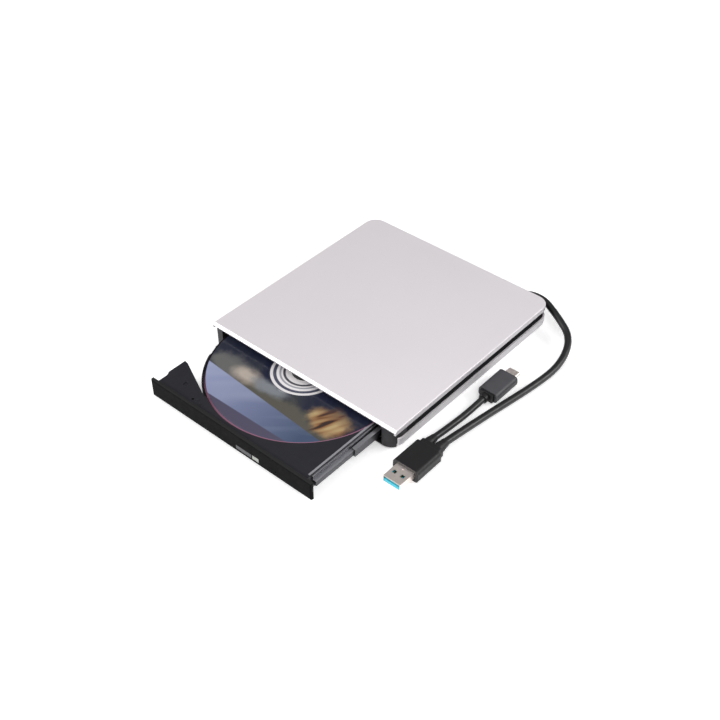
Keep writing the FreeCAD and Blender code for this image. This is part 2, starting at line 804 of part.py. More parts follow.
def build_rails(side, outward, low, depth, channel_y, rail_y, runner_y, plate_z):
    """One side's nested rails. low is the lowest level, depth the height of the outer channel."""
    root = drive_right - sheet_metal - 0.1 if outward > 0 else drive_left + sheet_metal + 0.1
    reach = 3.2
    z = low, low + depth
    node(channel(f"{side}_guide_channel", outward, root, reach, channel_y, z), f"{side}_guide_channel")
    step = metal + gap
    rail_z = z[0] + step, z[1] - step
    rail_root = root - outward * step
    node(channel(f"{side}_slide_rail", outward, rail_root, reach - 0.6, rail_y, rail_z), f"{side}_slide_rail")
    tongue_end = rail_root - outward * step
    plate_face = tray_right if outward > 0 else tray_left
    plate_back = plate_face + outward * 0.8
    tongue = box(f"{side}_tongue", sorted((tongue_end, plate_face), key=float), runner_y,
                 (rail_z[0] + step, rail_z[1] - step))
    plate = box(f"{side}_plate", sorted((plate_back, plate_face), key=float), runner_y, plate_z)
    node(fuse(f"{side}_runner", tongue, plate), f"{side}_runner")


# ---------------------------------------------------------------- tray

latch_pivot = (Size(50.0), tray_front + 6.75)
latch_post_x = latch_pivot[0] + 5.6
latch_post_y = latch_pivot[1] + 2.2 + size_of("tray_out")


left_arc = disc_radius + 1.4
cut_away_right = disc_x - 27
wing_left = Size(-63.8)
wing_notch = Size(-62.4)


def build_tray():
    deck = box("tray_deck", (tray_left, tray_right), (tray_front, tray_rear), (tray_underside, tray_top))
    corner = box("tray_corner", (tray_left - 1, cut_away_right), (tray_front + 6, disc_y), (0, height))
    keep = cylinder("tray_keep", (disc_x, disc_y, -1), left_arc, height + 2)
    left_cut = cut("tray_left_cut", corner, keep)
    low_rim = box("tray_low_rim", (tray_left - 1, cut_away_right), (tray_front + 6, disc_y + 8),
                  (tray_floor_top + 0.6, height))
    nose = box("tray_nose_cut", (tray_left - 1, cut_away_right), (tray_front - 1, tray_front + 6.1),
               (0, height))
    brow = box("tray_brow", (cut_away_right, tray_right), (plate_back + 0.1, tray_front + 1),
               (tray_top - 1.6, tray_top))
    wing = prism("tray_wing", [
        (wing_notch, plate_back + 0.1), (disc_x - 20, plate_back + 0.1), (disc_x - 20, tray_front + 12),
        (disc_x - 28.5, tray_front + 6.8), (disc_x - 57, tray_front + 20.2), (wing_left, tray_front + 20.8),
        (wing_left, tray_front + 8), (wing_notch, tray_front + 5.2),
    ], (tray_top - 1.6, tray_top))
    recess = cylinder("disc_recess", (disc_x, disc_y, tray_floor_top), disc_radius + 0.7, 10)
    small_recess = cylinder("small_disc_recess", (disc_x, disc_y, tray_floor_top - 0.5), 40.5, 10)
    turntable_room = cylinder("turntable_room", (disc_x, disc_y, 0), 15.5, height)
    window = place_on_track(group("pickup_window", box(
        "pickup_window_block", (track_start, track_end + 2), (-17.5, 17.5), (0, tray_floor_top + 0.5)
    )))
    under_block = box("tray_under_block", (tray_left + 1, tray_right - 1), (tray_front + 1, tray_rear - 1),
                      (0, tray_floor_underside))
    under = cut("tray_under_room", under_block, left_cut_margin())
    board_notch = box("front_board_notch", (0, 28), (tray_front - 1, tray_front + 1.5),
                      (0, tray_floor_underside))
    post_path = box("latch_post_path", (latch_post_x - 1, latch_post_x + 1), (tray_rear - 3, tray_rear + 1),
                    (0, tray_floor_underside))
    boss_holes = [
        place_on_track(group(f"tray_screw_hole_{n}", cylinder(
            f"tray_screw_bore_{n}", (u, v, tray_floor_underside - 1), 0.85, 1.8
        )))
        for n, (u, v) in enumerate(traverse_screw_places)
    ]
    wing_hole = cylinder("wing_screw_hole", (-35.4, plate_back + 3.8, tray_top - 1), 1.0, 2)
    wing_mark = box("wing_mark", (-49.5, -46.5), (tray_front + 5.5, tray_front + 8.5),
                    (tray_top - 0.5, height))
    wing_pins = [
        cylinder(f"wing_pin_{n}", (x, plate_back + y, tray_top - 0.2), 0.7, 0.6)
        for n, (x, y) in enumerate(((-32.6, 4.8), (-29.2, 3.4)))
    ]
    edge_bead = box("tray_edge_bead", (tray_right - 1.7, tray_right - 0.5), (tray_front + 1, tray_rear - 1),
                    (tray_top - 0.2, tray_top + 0.4))
    solid = cut("tray_solid", deck, left_cut, nose, low_rim)
    whole = fuse("tray_with_wing", solid, brow, wing, *wing_pins, edge_bead)
    node(cut("tray", whole, recess, small_recess, turntable_room, window, under, board_notch, post_path,
             wing_hole, wing_mark, *boss_holes), "tray")


def left_cut_margin():
    """The part of the tray's underside that stays solid along its curved left edge."""
    block = box("under_margin_block", (tray_left - 1, cut_away_right + 1), (tray_front, disc_y),
                (-1, height + 1))
    keep = cylinder("under_margin_keep", (disc_x, disc_y, -2), left_arc - 1.2, height + 4)
    return cut("under_margin", block, keep)


traverse_screw_places = [(-14.0, 17.0), (-14.0, -17.0), (57.0, -19.9)]


def build_bezel():
    body = doc.addObject("PartDesign::Body", "bezel_front")
    low = Size(2.35)
    high = low + size_of("bezel_height")
    sketch = sketch_in(body, "bezel_outline", level=low)
    rectangle(sketch, (drive_left, drive_right), (bezel_front, tray_front))
    pad(body, sketch, high - low)
    face = float(bezel_front)
    dress(body, "Fillet", 0.9, lambda at, way: at.y < face + 0.01)
    room = box("bezel_room", (drive_left - 1, drive_right + 1), (plate_back, tray_front + 1),
               (low - 1, high + 1))
    clips = [
        box(f"bezel_clip_{n}", (x, x + 7), (plate_back - 0.5, tray_front), (low + 3, low + 4.6))
        for n, x in enumerate((-26.0, 42.0))
    ]
    foot = box("bezel_foot", (-29, tray_right), (plate_back - 0.5, tray_front), (low, low + 1.4))
    plate = cut("bezel_plate", body, room)
    button_hole = box("button_hole", (button_x[0] - 0.25, button_x[1] + 0.25), (bezel_front - 1, tray_front),
                      (button_z[0] - 0.25, button_z[1] + 0.25))
    lens_hole = box("lens_hole", lens_x, (bezel_front - 1, tray_front), lens_z)
    pinhole = cylinder("eject_pinhole", (36.5, bezel_front - 1, 6.0), 0.7, 10, "y")
    blank = fuse("bezel_blank", plate, foot, *clips)
    node(cut("bezel", blank, button_hole, lens_hole, pinhole), "bezel")


button_x = (Size(5.4), Size(17.4))
button_z = (Size(4.4), Size(7.0))
lens_x = (Size(18.4), Size(23.4))
lens_z = (Size(4.6), Size(7.4))


def build_front_parts():
    face = bezel_front + 0.1
    cap = box("button_cap", button_x, (face, bezel_front + 3.3), button_z)
    flange = box("button_flange", (button_x[0] - 0.8, button_x[1] + 0.8),
                 (plate_back + 0.15, plate_back + 0.9), (button_z[0] - 0.4, button_z[1] + 0.8))
    node(fuse("eject_button", cap, flange), "eject_button")
    guide = box("lens_guide", lens_x, (bezel_front, plate_back), lens_z)
    collar = box("lens_collar", (lens_x[0], lens_x[1] + 0.8), (plate_back, plate_back + 0.8),
                 (lens_z[0] - 0.6, lens_z[1] + 0.6))
    node(fuse("indicator_lens", guide, collar), "indicator_lens")
    board = box("front_board", (1, 27), (tray_front + 0.3, tray_front + 1.1),
                (tray_underside + 0.1, tray_floor_underside - 0.1))
    node(board, "front_board")
    button_middle = (button_x[0] + button_x[1]) / 2
    switch = box("eject_switch", (button_middle - 2.5, button_middle + 2.5),
                 (tray_front - 1.1, tray_front + 0.3), (tray_underside + 0.4, tray_underside + 3.4))
    node(switch, "eject_switch")


def build_shield():
    sheet_z = tray_underside - 0.4, tray_underside
    blank = prism("shield_blank", [
        (disc_x - 24, tray_front + 0.5), (tray_right - 3.1, tray_front + 0.5),
        (tray_right - 3.1, tray_rear - 0.5), (tray_left + 0.5, tray_rear - 0.5), (tray_left + 0.5, disc_y),
        (disc_x - 40, tray_front + 28), (disc_x - 28, tray_front + 15),
    ], sheet_z)
    vent = cylinder("shield_spindle_hole", (disc_x, disc_y, 0), 9.0, height)
    node(cut("tray_shield", blank, vent), "tray_shield")
    board_face = tray_floor_underside - 1.2
    board = box("drive_board", (-57, -22), (disc_y + 16, tray_rear - 2.5), (board_face, tray_floor_underside))
    chips = [
        box("drive_chip", (-50, -38), (disc_y + 24, disc_y + 36), (board_face - 1.2, board_face)),
        box("drive_memory", (-34, -26), (disc_y + 30, disc_y + 42), (board_face - 1.0, board_face)),
    ]
    node(fuse("drive_board", board, *chips), "drive_board")


def build_latch():
    x, y = latch_pivot
    low = tray_underside + 0.4
    tall = 1.4
    lever = [
        cylinder("latch_boss", (x, y, low), 2.2, tall),
        box("latch_arm", (x, x + 4.8), (y - 1.3, y + 1.3), (low, low + tall)),
        box("latch_side", (x + 3.2, x + 4.8), (y + 1, y + 3.8), (low, low + tall)),
        box("latch_hook", (x + 4.7, x + 6.2), (y + 3, y + 3.8), (low, low + tall)),
        box("latch_tail", (x - 3.8, x), (y - 1, y + 1), (low, low + tall)),
    ]
    bore = cylinder("latch_bore", (x, y, low - 1), 1.05, 5)
    node(cut("latch_lever", fuse("latch_blank", *lever), bore), "latch_lever")
    pin = cylinder("latch_pivot", (x, y, tray_underside), 1.0, tray_floor_underside - tray_underside)
    node(pin, "latch_pivot_pin")
    coil = doc.addObject("Part::Torus", "latch_coil")
    bind(coil, "Radius1", 1.7)
    bind(coil, "Radius2", 0.3)
    for letter, place in zip("xyz", (x, y, low + tall + 0.6)):
        bind(coil, f"Placement.Base.{letter}", place)
    node(coil, "latch_spring")
    body = box("solenoid_body", (x - 11.4, x - 5), (y - 5.3, y + 1.4),
               (tray_underside + 0.3, tray_floor_underside))
    plunger = cylinder("solenoid_plunger", (x - 5, y - 3, low + 1.6), 1.0, 1.6, "x")
    node(fuse("latch_solenoid", body, plunger), "latch_solenoid")


# ---------------------------------------------------------------- drive mechanism
# Drawn with the spindle at the origin and the pickup's track along +X, then turned on to the tray's diagonal.

rod_offset = 14.5
rod_radius = 1.0
rod_z = Size(6.1)
screw_offset = 19.6
plate_bottom = Size(7.6)
plate_top = Size(8.2)
track_start, track_end = 11.0, 64.0
motor_length = 7.2
motor_start = 52.4


def build_traverse():
    end = track_end + 2
    plate = prism("traverse_plate", [
        (-20, -22.6), (61, -22.6), (end, -17), (end, 16.3), (61, 21.9), (-20, 21.9),
    ], (plate_bottom, plate_top))
    window = box("traverse_window", (track_start + 1.5, track_end - 0.5), (-15.8, 15.8), (0, height))
    spindle_room = cylinder("spindle_room", (0, 0, 0), 11.6, height)
    holders = []
    for n, end in enumerate((track_start - 2, track_end)):
        for m, side in enumerate((-rod_offset, rod_offset)):
            holders.append(box(f"rod_holder_{n}{m}", (end, end + 2), (side - 1.8, side + 1.8),
                               (4.9, plate_bottom + 0.1)))
    holders.append(box("screw_bearing", (track_start, track_start + 2),
                       (screw_offset - 1.5, screw_offset + 1.5), (4.5, plate_bottom + 0.1)))
    screw_holes = [
        cylinder(f"traverse_hole_{n}", (u, v, 0), 1.3, height)
        for n, (u, v) in enumerate(traverse_screw_places)
    ]
    blank = cut("traverse_blank", plate, window, spindle_room, *screw_holes)
    frame = fuse("traverse_frame", blank, *holders)
    node(place_on_track(frame), "traverse_frame")

    rods = [
        cylinder(f"guide_rod_{n}", (track_start, side, rod_z), rod_radius, track_end - track_start, "x")
        for n, side in enumerate((-rod_offset, rod_offset))
    ]
    node(place_on_track(group("guide_rods", *rods)), "guide_rods")

    dampers, screws = [], []
    for n, (u, v) in enumerate(traverse_screw_places):
        ring = cylinder(f"damper_{n}", (u, v, plate_bottom - 1.1), 2.4, 1.1)
        dampers.append(cut(f"damper_ring_{n}", ring, cylinder(f"damper_bore_{n}", (u, v, 0), 1.0, height)))
        head = cylinder(f"traverse_screw_head_{n}", (u, v, plate_bottom - 1.9), 1.8, 0.8)
        shank = cylinder(f"traverse_screw_shank_{n}", (u, v, plate_bottom - 1.1), 0.8, 2.6)
        screws.append(fuse(f"traverse_screw_{n}", head, shank))
    node(place_on_track(group("traverse_dampers", *dampers)), "traverse_dampers")
    node(place_on_track(group("traverse_screws", *screws)), "traverse_screws")

    motor = cylinder("sled_motor_can", (motor_start, screw_offset, 5.9), 1.65, motor_length, "x")
    node(place_on_track(group("sled_motor", motor)), "sled_motor")


def build_spindle():
    def at_spindle(body, name):
        bind(body, "Placement.Base.x", disc_x)
        bind(body, "Placement.Base.y", disc_y)
        return node(body, name)

    stator = revolve("spindle_stator", [
        (1.1, 4.2), (10.2, 4.2), (10.2, 4.8), (8.6, 4.8), (8.6, 6.4), (2.6, 6.4), (2.6, 7.0), (1.1, 7.0),
    ])
    at_spindle(stator, "spindle_stator")
    rotor = revolve("turntable", [
        (0.05, 4.4), (1.05, 4.4), (1.05, 7.4), (9.4, 7.4), (9.4, 5.2), (10.6, 5.2), (10.6, 8.8), (14.0, 9.3),
        (14.0, 10.0), (7.0, 10.0), (7.0, 9.6), (0.05, 9.6),
    ])
    at_spindle(rotor, "turntable")
    pad_ring = revolve("turntable_pad", [
        (11.0, 10.0), (13.8, 10.0), (13.8, disc_bottom), (11.0, disc_bottom),
    ])
    at_spindle(pad_ring, "turntable_pad")
    hub = revolve("hub_cone", [
        (0.05, 9.6), (6.9, 9.6), (6.9, 10.1), (7.4, 10.1), (7.4, 11.2), (6.9, 12.3), (0.05, 12.3),
    ])
    claw_low, claw_high = 11.55, 12.05
    slots = []
    for n in range(3):
        angle = 90 + 120 * n
        slot = box(f"claw_slot_{n}", (4.4, 8.5), (-1.25, 1.25), (claw_low - 0.15, claw_high + 0.15))
        turned = group(f"claw_slot_turned_{n}", slot)
        turned.Placement = FreeCAD.Placement(Vector(), FreeCAD.Rotation(Vector(0, 0, 1), angle))
        slots.append(turned)
        claw = box(f"claw_{n}", (5.6, 8.1), (-1.1, 1.1), (claw_low, claw_high))
        placed = group(f"hub_claw_{n + 1}", claw)
        placed.Placement = FreeCAD.Placement(Vector(), FreeCAD.Rotation(Vector(0, 0, 1), angle))
        bind(placed, "Placement.Base.x", disc_x)
        bind(placed, "Placement.Base.y", disc_y)
        node(placed, f"hub_claw_{n + 1}")
    at_spindle(cut("disc_hub", hub, *slots), "disc_hub")
    disc = revolve("disc", [
        (size_of("disc_hole_radius"), disc_bottom), (disc_radius, disc_bottom),
        (disc_radius, disc_top), (size_of("disc_hole_radius"), disc_top),
    ])
    at_spindle(disc, "disc")


def build_pickup():
    lens_radius = 30.0
    start, end = lens_radius - 11, lens_radius + 6.5
    base = box("sled_base", (start, end), (-17, 17), (4.7, 7.4))
    bores = [
        cylinder(f"sled_bore_{n}", (start - 1, side, rod_z), rod_radius + 0.05, end - start + 2, "x")
        for n, side in enumerate((-rod_offset, rod_offset))
    ]
    top = box("sled_top", (start, end), (-11, 11), (7.3, 7.6))
    walls = [
        box(f"actuator_wall_{n}", (at, at + 1.2), (-6, 6), (7.5, 9.2))
        for n, at in enumerate((lens_radius - 6.4, lens_radius + 5.2))
    ]
    nut = box("sled_nut", (start + 1, start + 4.5), (16.9, screw_offset - 1), (4.9, 6.9))
    sled = cut("pickup_sled", fuse("sled_blank", base, top, nut, *walls), *bores)
    node(place_on_track(sled), "pickup_sled")
    holder = box("lens_block", (lens_radius - 4.6, lens_radius + 4.6), (-5, 5), (8.1, 8.9))
    seat = cylinder("lens_seat", (lens_radius, 0, 8.5), 2.1, 1.0)
    node(place_on_track(cut("lens_holder", holder, seat)), "lens_holder")
    lens = cylinder("lens_barrel", (lens_radius, 0, 8.5), 2.1, 0.5)
    node(place_on_track(group("objective_lens", lens)), "objective_lens")
    screw_start = track_start + 2.2
    length = motor_start - 0.2 - screw_start
    screw = cylinder("screw_core", (screw_start, screw_offset, 5.9), 0.75, length, "x")
    node(place_on_track(group("lead_screw", screw)), "lead_screw")


# ---------------------------------------------------------------- build, check and write

build_top_shell()
build_mid_frame()
build_bottom_shell()
build_feet_and_screws()
build_gland()
build_bridge_board()
cord("usb_cable", CABLE_ROUTE, DIMENSIONS["cable_radius"])
cord("usb_c_pigtail", PIGTAIL_ROUTE, DIMENSIONS["pigtail_radius"])
build_usb_a()
build_usb_c()
build_chassis()
build_drive_connector()
build_rails("right", 1, Size(4.4), 7.2, (chassis_front + 1, drive_rear - 1.2),
            (tray_front + 33, tray_front + 148), (tray_front + 2, tray_rear), (4.1, 12.3))
build_rails("left", -1, Size(3.4), 6.2, (front + 26, drive_rear - 1.2),
            (front - 8, front + 95), (disc_y - 20, tray_rear), (4.1, 9.0))
build_tray()
build_bezel()
build_front_parts()
build_shield()
build_latch()
build_traverse()
build_spindle()
build_pickup()
doc.recompute()

for item in doc.Objects:
    if "Invalid" in item.State or "Error" in item.State:
        raise RuntimeError(f"{item.Label}: {item.State}")
os.makedirs("parts", exist_ok=True)
for name, item in nodes.items():
    shape = item.Shape
    if shape.isNull() or not shape.isValid() or not shape.Solids:
        raise RuntimeError(f"{name} has no valid solid")
    shape.exportStep(f"parts/{name}.step")
    print(f"{name}: {len(shape.Solids)} solids, {shape.Volume:.1f} mm3")
print(len(nodes), "pieces")
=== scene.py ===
"""The looks of the external optical drive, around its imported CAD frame.

Metres, +Z up, and the tray opens towards -Y. Sizes are written in millimetres and turned into metres by MM.
"""
import json
import math

import bmesh
import bpy
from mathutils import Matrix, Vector


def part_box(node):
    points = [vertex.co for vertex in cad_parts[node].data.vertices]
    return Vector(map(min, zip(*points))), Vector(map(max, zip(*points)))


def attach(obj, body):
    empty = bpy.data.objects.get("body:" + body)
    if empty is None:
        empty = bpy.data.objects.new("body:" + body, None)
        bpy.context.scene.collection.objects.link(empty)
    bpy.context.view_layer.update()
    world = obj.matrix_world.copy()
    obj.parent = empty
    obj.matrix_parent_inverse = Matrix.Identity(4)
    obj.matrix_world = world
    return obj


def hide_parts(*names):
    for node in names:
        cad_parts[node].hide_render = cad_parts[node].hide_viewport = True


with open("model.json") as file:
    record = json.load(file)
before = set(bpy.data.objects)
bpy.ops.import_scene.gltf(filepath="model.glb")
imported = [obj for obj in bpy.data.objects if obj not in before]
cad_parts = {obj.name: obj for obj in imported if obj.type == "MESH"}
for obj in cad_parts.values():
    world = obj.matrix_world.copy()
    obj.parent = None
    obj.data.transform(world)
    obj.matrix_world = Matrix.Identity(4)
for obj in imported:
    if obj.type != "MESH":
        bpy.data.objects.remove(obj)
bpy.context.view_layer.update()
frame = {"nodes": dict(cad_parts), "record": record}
MM = 0.001
scene = bpy.context.scene


def in_metres(*places):
    return [tuple(length * MM for length in place) for place in places]


def add_piece(name, mesh, body, slot, *replaced):
    """A new piece that rides on a body and may stand for CAD nodes."""
    piece = bpy.data.objects.new(name, mesh)
    scene.collection.objects.link(piece)
    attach(piece, body)
    if replaced:
        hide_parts(*replaced)
    return piece


# ---------------------------------------------------------------- camera

AZIMUTH, ELEVATION, ROLL = (math.radians(angle) for angle in (41.118, 41.218, -0.198))
CAMERA_TARGET = Vector((18.725, -15.219, 17.5)) * MM
CAMERA_DISTANCE = 670.242 * MM
CAMERA_LENS = 56.36


def build_camera():
    back = Vector((
        math.sin(AZIMUTH) * math.cos(ELEVATION),
        -math.cos(AZIMUTH) * math.cos(ELEVATION),
        math.sin(ELEVATION),
    ))
    camera = bpy.data.objects.new("camera", bpy.data.cameras.new("camera"))
    camera.data.lens = CAMERA_LENS
    camera.data.sensor_width = 36
    camera.location = CAMERA_TARGET + back * CAMERA_DISTANCE
    camera.rotation_mode = "QUATERNION"
    turn = (-back).to_track_quat("-Z", "Y").to_matrix()
    right, up = turn.col[0].copy(), turn.col[1].copy()
    turn.col[0] = right * math.cos(ROLL) + up * math.sin(ROLL)
    turn.col[1] = up * math.cos(ROLL) - right * math.sin(ROLL)
    camera.rotation_quaternion = turn.to_quaternion()
    scene.collection.objects.link(camera)
    scene.camera = camera


# ---------------------------------------------------------------- cords

USB_CABLE = {
    "name": "usb_cable_jacket", "node": "usb_cable",
    "length": 191.7, "diameter": 4.6, "stiffness": "medium",
    "route": [
        (33.0, 103.65, 11.3), (44.0, 103.65, 11.3), (61.0, 114.1, 11.3), (80.5, 104.45, 9.8),
        (96.2, 95.8, 6.2), (103.1, 75.2, 2.6), (101.9, 50.2, 2.35), (93.9, 2.2, 2.35), (91.6, -25.5, 4.3),
    ],
    "end": ["usb_a_overmould", "usb_a_shell", "usb_a_tongue", "usb_a_contacts"],
}
PIGTAIL = {
    "name": "usb_c_pigtail_jacket", "node": "usb_c_pigtail",
    "length": 44.1, "diameter": 4.2, "stiffness": "medium",
    "route": [(84.6, -26.5, 4.3), (84.9, -12.0, 2.6), (85.7, 4.0, 2.4), (86.0, 17.5, 3.5)],
    "end": ["usb_c_collar", "usb_c_overmould", "usb_c_shell"],
}


def build_cord(facts):
    """A tube along a smooth line that the route's points pull into shape."""
    points = in_metres(*facts["route"])
    curve = bpy.data.curves.new(facts["name"], "CURVE")
    curve.dimensions = "3D"
    curve.resolution_u = 24
    curve.bevel_resolution = 10
    curve.use_fill_caps = True
    line = curve.splines.new("NURBS")
    line.points.add(len(points) - 1)
    for point, place in zip(line.points, points):
        point.co = (*place, 1)
    line.order_u = 3
    line.use_endpoint_u = True
    drawn = bpy.data.objects.new("drawn_line", curve)
    path = [vertex.co.copy() for vertex in bpy.data.meshes.new_from_object(drawn).vertices]
    curve.bevel_depth = facts["diameter"] * MM / 2
    tube = bpy.data.meshes.new_from_object(drawn)
    bpy.data.objects.remove(drawn)
    cord = add_piece(facts["name"], tube, "housing", "cable_black", facts["node"])
    for face in tube.polygons:
        face.use_smooth = True
    return cord


# ---------------------------------------------------------------- disc and lens

DISC_LOW, DISC_HIGH = (Vector(corner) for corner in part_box("disc"))
DISC_CENTRE = (DISC_LOW + DISC_HIGH) / 2 / MM
DISC_RADIUS = (DISC_HIGH.x - DISC_LOW.x) / 2 / MM
DISC_HOLE = 7.55
RIM_ROUND, RIM_CHAMFER = 0.25, 0.07
HOLE_CHAMFER = 0.15
LABEL_DROP = 0.01
GROOVE_SMOOTHING = math.radians(25)


def lathe(name, profile, centre, steps=256, closed=True):
    """Turns an outline of radius and height, in millimetres, about the upright line through a centre."""
    mesh = bmesh.new()
    rings = []
    for radius, height in profile:
        if radius == 0:
            rings.append([mesh.verts.new(Vector((centre.x, centre.y, height)) * MM)] * steps)
            continue
        turns = [2 * math.pi * step / steps for step in range(steps)]
        places = [(centre.x + radius * math.cos(a), centre.y + radius * math.sin(a), height) for a in turns]
        rings.append([mesh.verts.new(Vector(place) * MM) for place in places])
    pairs = list(zip(rings, rings[1:] + rings[:1])) if closed else list(zip(rings, rings[1:]))
    for lower, upper in pairs:
        for step in range(steps):
            corners = [lower[step], lower[(step + 1) % steps], upper[(step + 1) % steps], upper[step]]
            unique = list(dict.fromkeys(corners))
            if len(unique) > 2:
                mesh.faces.new(unique).smooth = True
    bmesh.ops.recalc_face_normals(mesh, faces=mesh.faces)
    result = bpy.data.meshes.new(name)
    mesh.to_mesh(result)
    mesh.free()
    return result


def build_disc():
    """The loaded disc: rounded rims, a moat and a stacking groove round the clamping area."""
    low, high = DISC_LOW.z / MM, DISC_HIGH.z / MM
    outline = [
        (DISC_HOLE, low + HOLE_CHAMFER), (DISC_HOLE + HOLE_CHAMFER, low), (DISC_RADIUS - RIM_ROUND, low),
        (DISC_RADIUS - RIM_CHAMFER, low + RIM_CHAMFER), (DISC_RADIUS, low + RIM_ROUND),
        (DISC_RADIUS, high - RIM_ROUND), (DISC_RADIUS - RIM_CHAMFER, high - RIM_CHAMFER),
        (DISC_RADIUS - RIM_ROUND, high - LABEL_DROP),
    ]
    label_edge = [(58.6, high - LABEL_DROP), (58.5, high - 0.06), (58.2, high - 0.06), (58.1, high)]
    stacking_groove = [(22.2, high), (22.1, high - 0.08), (21.6, high - 0.08), (21.5, high)]
    moat = [(17.6, high), (17.3, high - 0.10), (16.9, high - 0.10), (16.6, high)]
    hole_edge = [(DISC_HOLE + HOLE_CHAMFER, high), (DISC_HOLE, high - HOLE_CHAMFER)]
    profile = [*outline, *label_edge, *stacking_groove, *moat, *hole_edge]
    mesh = lathe("disc_printed", profile, DISC_CENTRE)
    disc = add_piece("disc_printed", mesh, "spindle", "disc_print", "disc")
    disc.data.materials.append(printed_disc())
    edge = disc.modifiers.new("edge_split", "EDGE_SPLIT")
    edge.split_angle = GROOVE_SMOOTHING


def build_lens():
    """The domed objective lens in its holder."""
    low, high = (Vector(corner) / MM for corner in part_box("objective_lens"))
    centre, radius = (low + high) / 2, (high.x - low.x) / 2
    rise = high.z - low.z
    shoulder = 0.35
    dome = [
        (radius * math.cos(a), low.z + rise * shoulder + rise * (1 - shoulder) * math.sin(a))
        for a in (math.radians(turn) for turn in range(0, 90, 15))
    ]
    profile = [(0, low.z), (radius, low.z), *dome, (0, high.z)]
    mesh = lathe("domed_lens", profile, centre, steps=64, closed=False)
    lens = add_piece("domed_lens", mesh, "lens", "lens_glass", "objective_lens")
    lens.data.materials.append(finishes["lens_glass"])


# ---------------------------------------------------------------- material nodes

class Shade:
    """One material, new or already made, with short calls that add nodes in front of its shader."""

    def __init__(self, name, material=None):
        self.material = material or bpy.data.materials.new(name)
        self.material.use_nodes = True
        self.tree = self.material.node_tree
        self.shader = self.tree.nodes["Principled BSDF"]
        self.place = self.add("ShaderNodeTexCoord").outputs["Object"]

    def add(self, kind, inputs=None, **settings):
        node = self.tree.nodes.new(kind)
        for name, value in settings.items():
            setattr(node, name, value)
        for name, value in (inputs or {}).items():
            self.feed(node.inputs[name], value)
        return node

    def feed(self, socket, value):
        if isinstance(value, bpy.types.NodeSocket):
            self.tree.links.new(value, socket)
        else:
            socket.default_value = value

    def set(self, **values):
        for name, value in values.items():
            self.feed(self.shader.inputs[name.replace("_", " ")], value)

    def maths(self, operation, first, second=0.0, third=0.0, clamp=False):
        inputs = {0: first, 1: second, 2: third}
        return self.add("ShaderNodeMath", inputs, operation=operation, use_clamp=clamp).outputs[0]

    def mapped(self, centre=(0, 0, 0), turn=0.0, stretch=(1, 1, 1)):
        """Object coordinates about a centre in millimetres, turned about Z, with each axis stretched."""
        inputs = {
            "Vector": self.place,
            "Location": Vector(centre) * MM,
            "Rotation": (0, 0, math.radians(turn)),
            "Scale": stretch,
        }
        return self.add("ShaderNodeMapping", inputs, vector_type="TEXTURE").outputs[0]

    def noise(self, size, detail=3.0, stretch=(1, 1, 1), turn=0.0):
        """Noise whose features are about size millimetres across."""
        place = self.mapped(stretch=stretch, turn=turn)
        inputs = {"Vector": place, "Scale": 1 / (size * MM), "Detail": detail}
        return self.add("ShaderNodeTexNoise", inputs).outputs[0]

    def between(self, value, low, high, out_low=0.0, out_high=1.0, smooth=False):
        inputs = {"Value": value, "From Min": low, "From Max": high, "To Min": out_low, "To Max": out_high}
        kind = "SMOOTHSTEP" if smooth else "LINEAR"
        return self.add("ShaderNodeMapRange", inputs, interpolation_type=kind).outputs[0]

    def mix(self, share, first, second):
        inputs = {0: share, 6: as_colour(first), 7: as_colour(second)}
        return self.add("ShaderNodeMix", inputs, data_type="RGBA").outputs[2]

    def edges(self, radius, share):
        """How near a sharp edge is, from 0 to share, for wear and light along it."""
        rounded = self.add("ShaderNodeBevel", {"Radius": radius * MM}, samples=6).outputs[0]
        true = self.add("ShaderNodeNewGeometry").outputs["Normal"]
        product = self.add("ShaderNodeVectorMath", {0: rounded, 1: true}, operation="DOT_PRODUCT")
        worn = self.between(product.outputs["Value"], 0.80, 0.985, share, 0.0)
        patches = self.between(self.noise(4.0), 0.3, 0.6, 0.6, 1.0)
        return self.maths("MULTIPLY", worn, patches, clamp=True)

    def facing_up(self):
        """1 on faces that point up, 0 on upright ones."""
        normal = self.add("ShaderNodeNewGeometry").outputs["Normal"]
        rise = self.add("ShaderNodeSeparateXYZ", {0: normal}).outputs["Z"]
        return self.between(rise, 0.5, 0.95)

    def bump(self, height, depth):
        """A bump whose full height is depth millimetres."""
        inputs = {"Height": height, "Distance": depth * MM, "Strength": 1.0}
        self.set(Normal=self.add("ShaderNodeBump", inputs).outputs[0])


def as_colour(value):
    return value if isinstance(value, bpy.types.NodeSocket) else (*value, 1.0)


def lighter(colour, share):
    return tuple(min(1.0, part * (1 + share)) for part in colour)


CLOUD, GRAIN = 0.12, 0.35
DRAWN_LINE = 0.4


def moulded(name, colour, rough, depth=0.006, gloss=0.3, painted_top_light=0.0):
    """Moulded plastic or rubber: a fine spark-eroded grain, faint clouds, sharp edges made lighter as worn
    and as a painted highlight, and, when asked, a painted highlight on the faces that look up.
    """
    shade = Shade(name)
    clouds = shade.noise(9.0, 2.0)
    plain = shade.mix(clouds, lighter(colour, -CLOUD), lighter(colour, CLOUD))
    # Sharp edges turn lighter: partly worn plastic, partly a painted highlight.
    worn_and_lit_edge = tuple(part * 0.8 + 0.07 for part in colour)
    # When asked, faces that look up are lighter: painted light from above.
    if painted_top_light:
        painted_lit_top = tuple(part + painted_top_light for part in colour)
        plain = shade.mix(shade.facing_up(), plain, painted_lit_top)
    shade.set(Base_Color=shade.mix(shade.edges(0.3, 0.6), plain, worn_and_lit_edge), Specular_IOR_Level=gloss)
    shade.set(Roughness=shade.between(shade.noise(3.0, 5.0), 0.3, 0.7, rough - 0.05, rough + 0.05))
    shade.bump(shade.noise(GRAIN, 2.0), depth)
    return shade.material


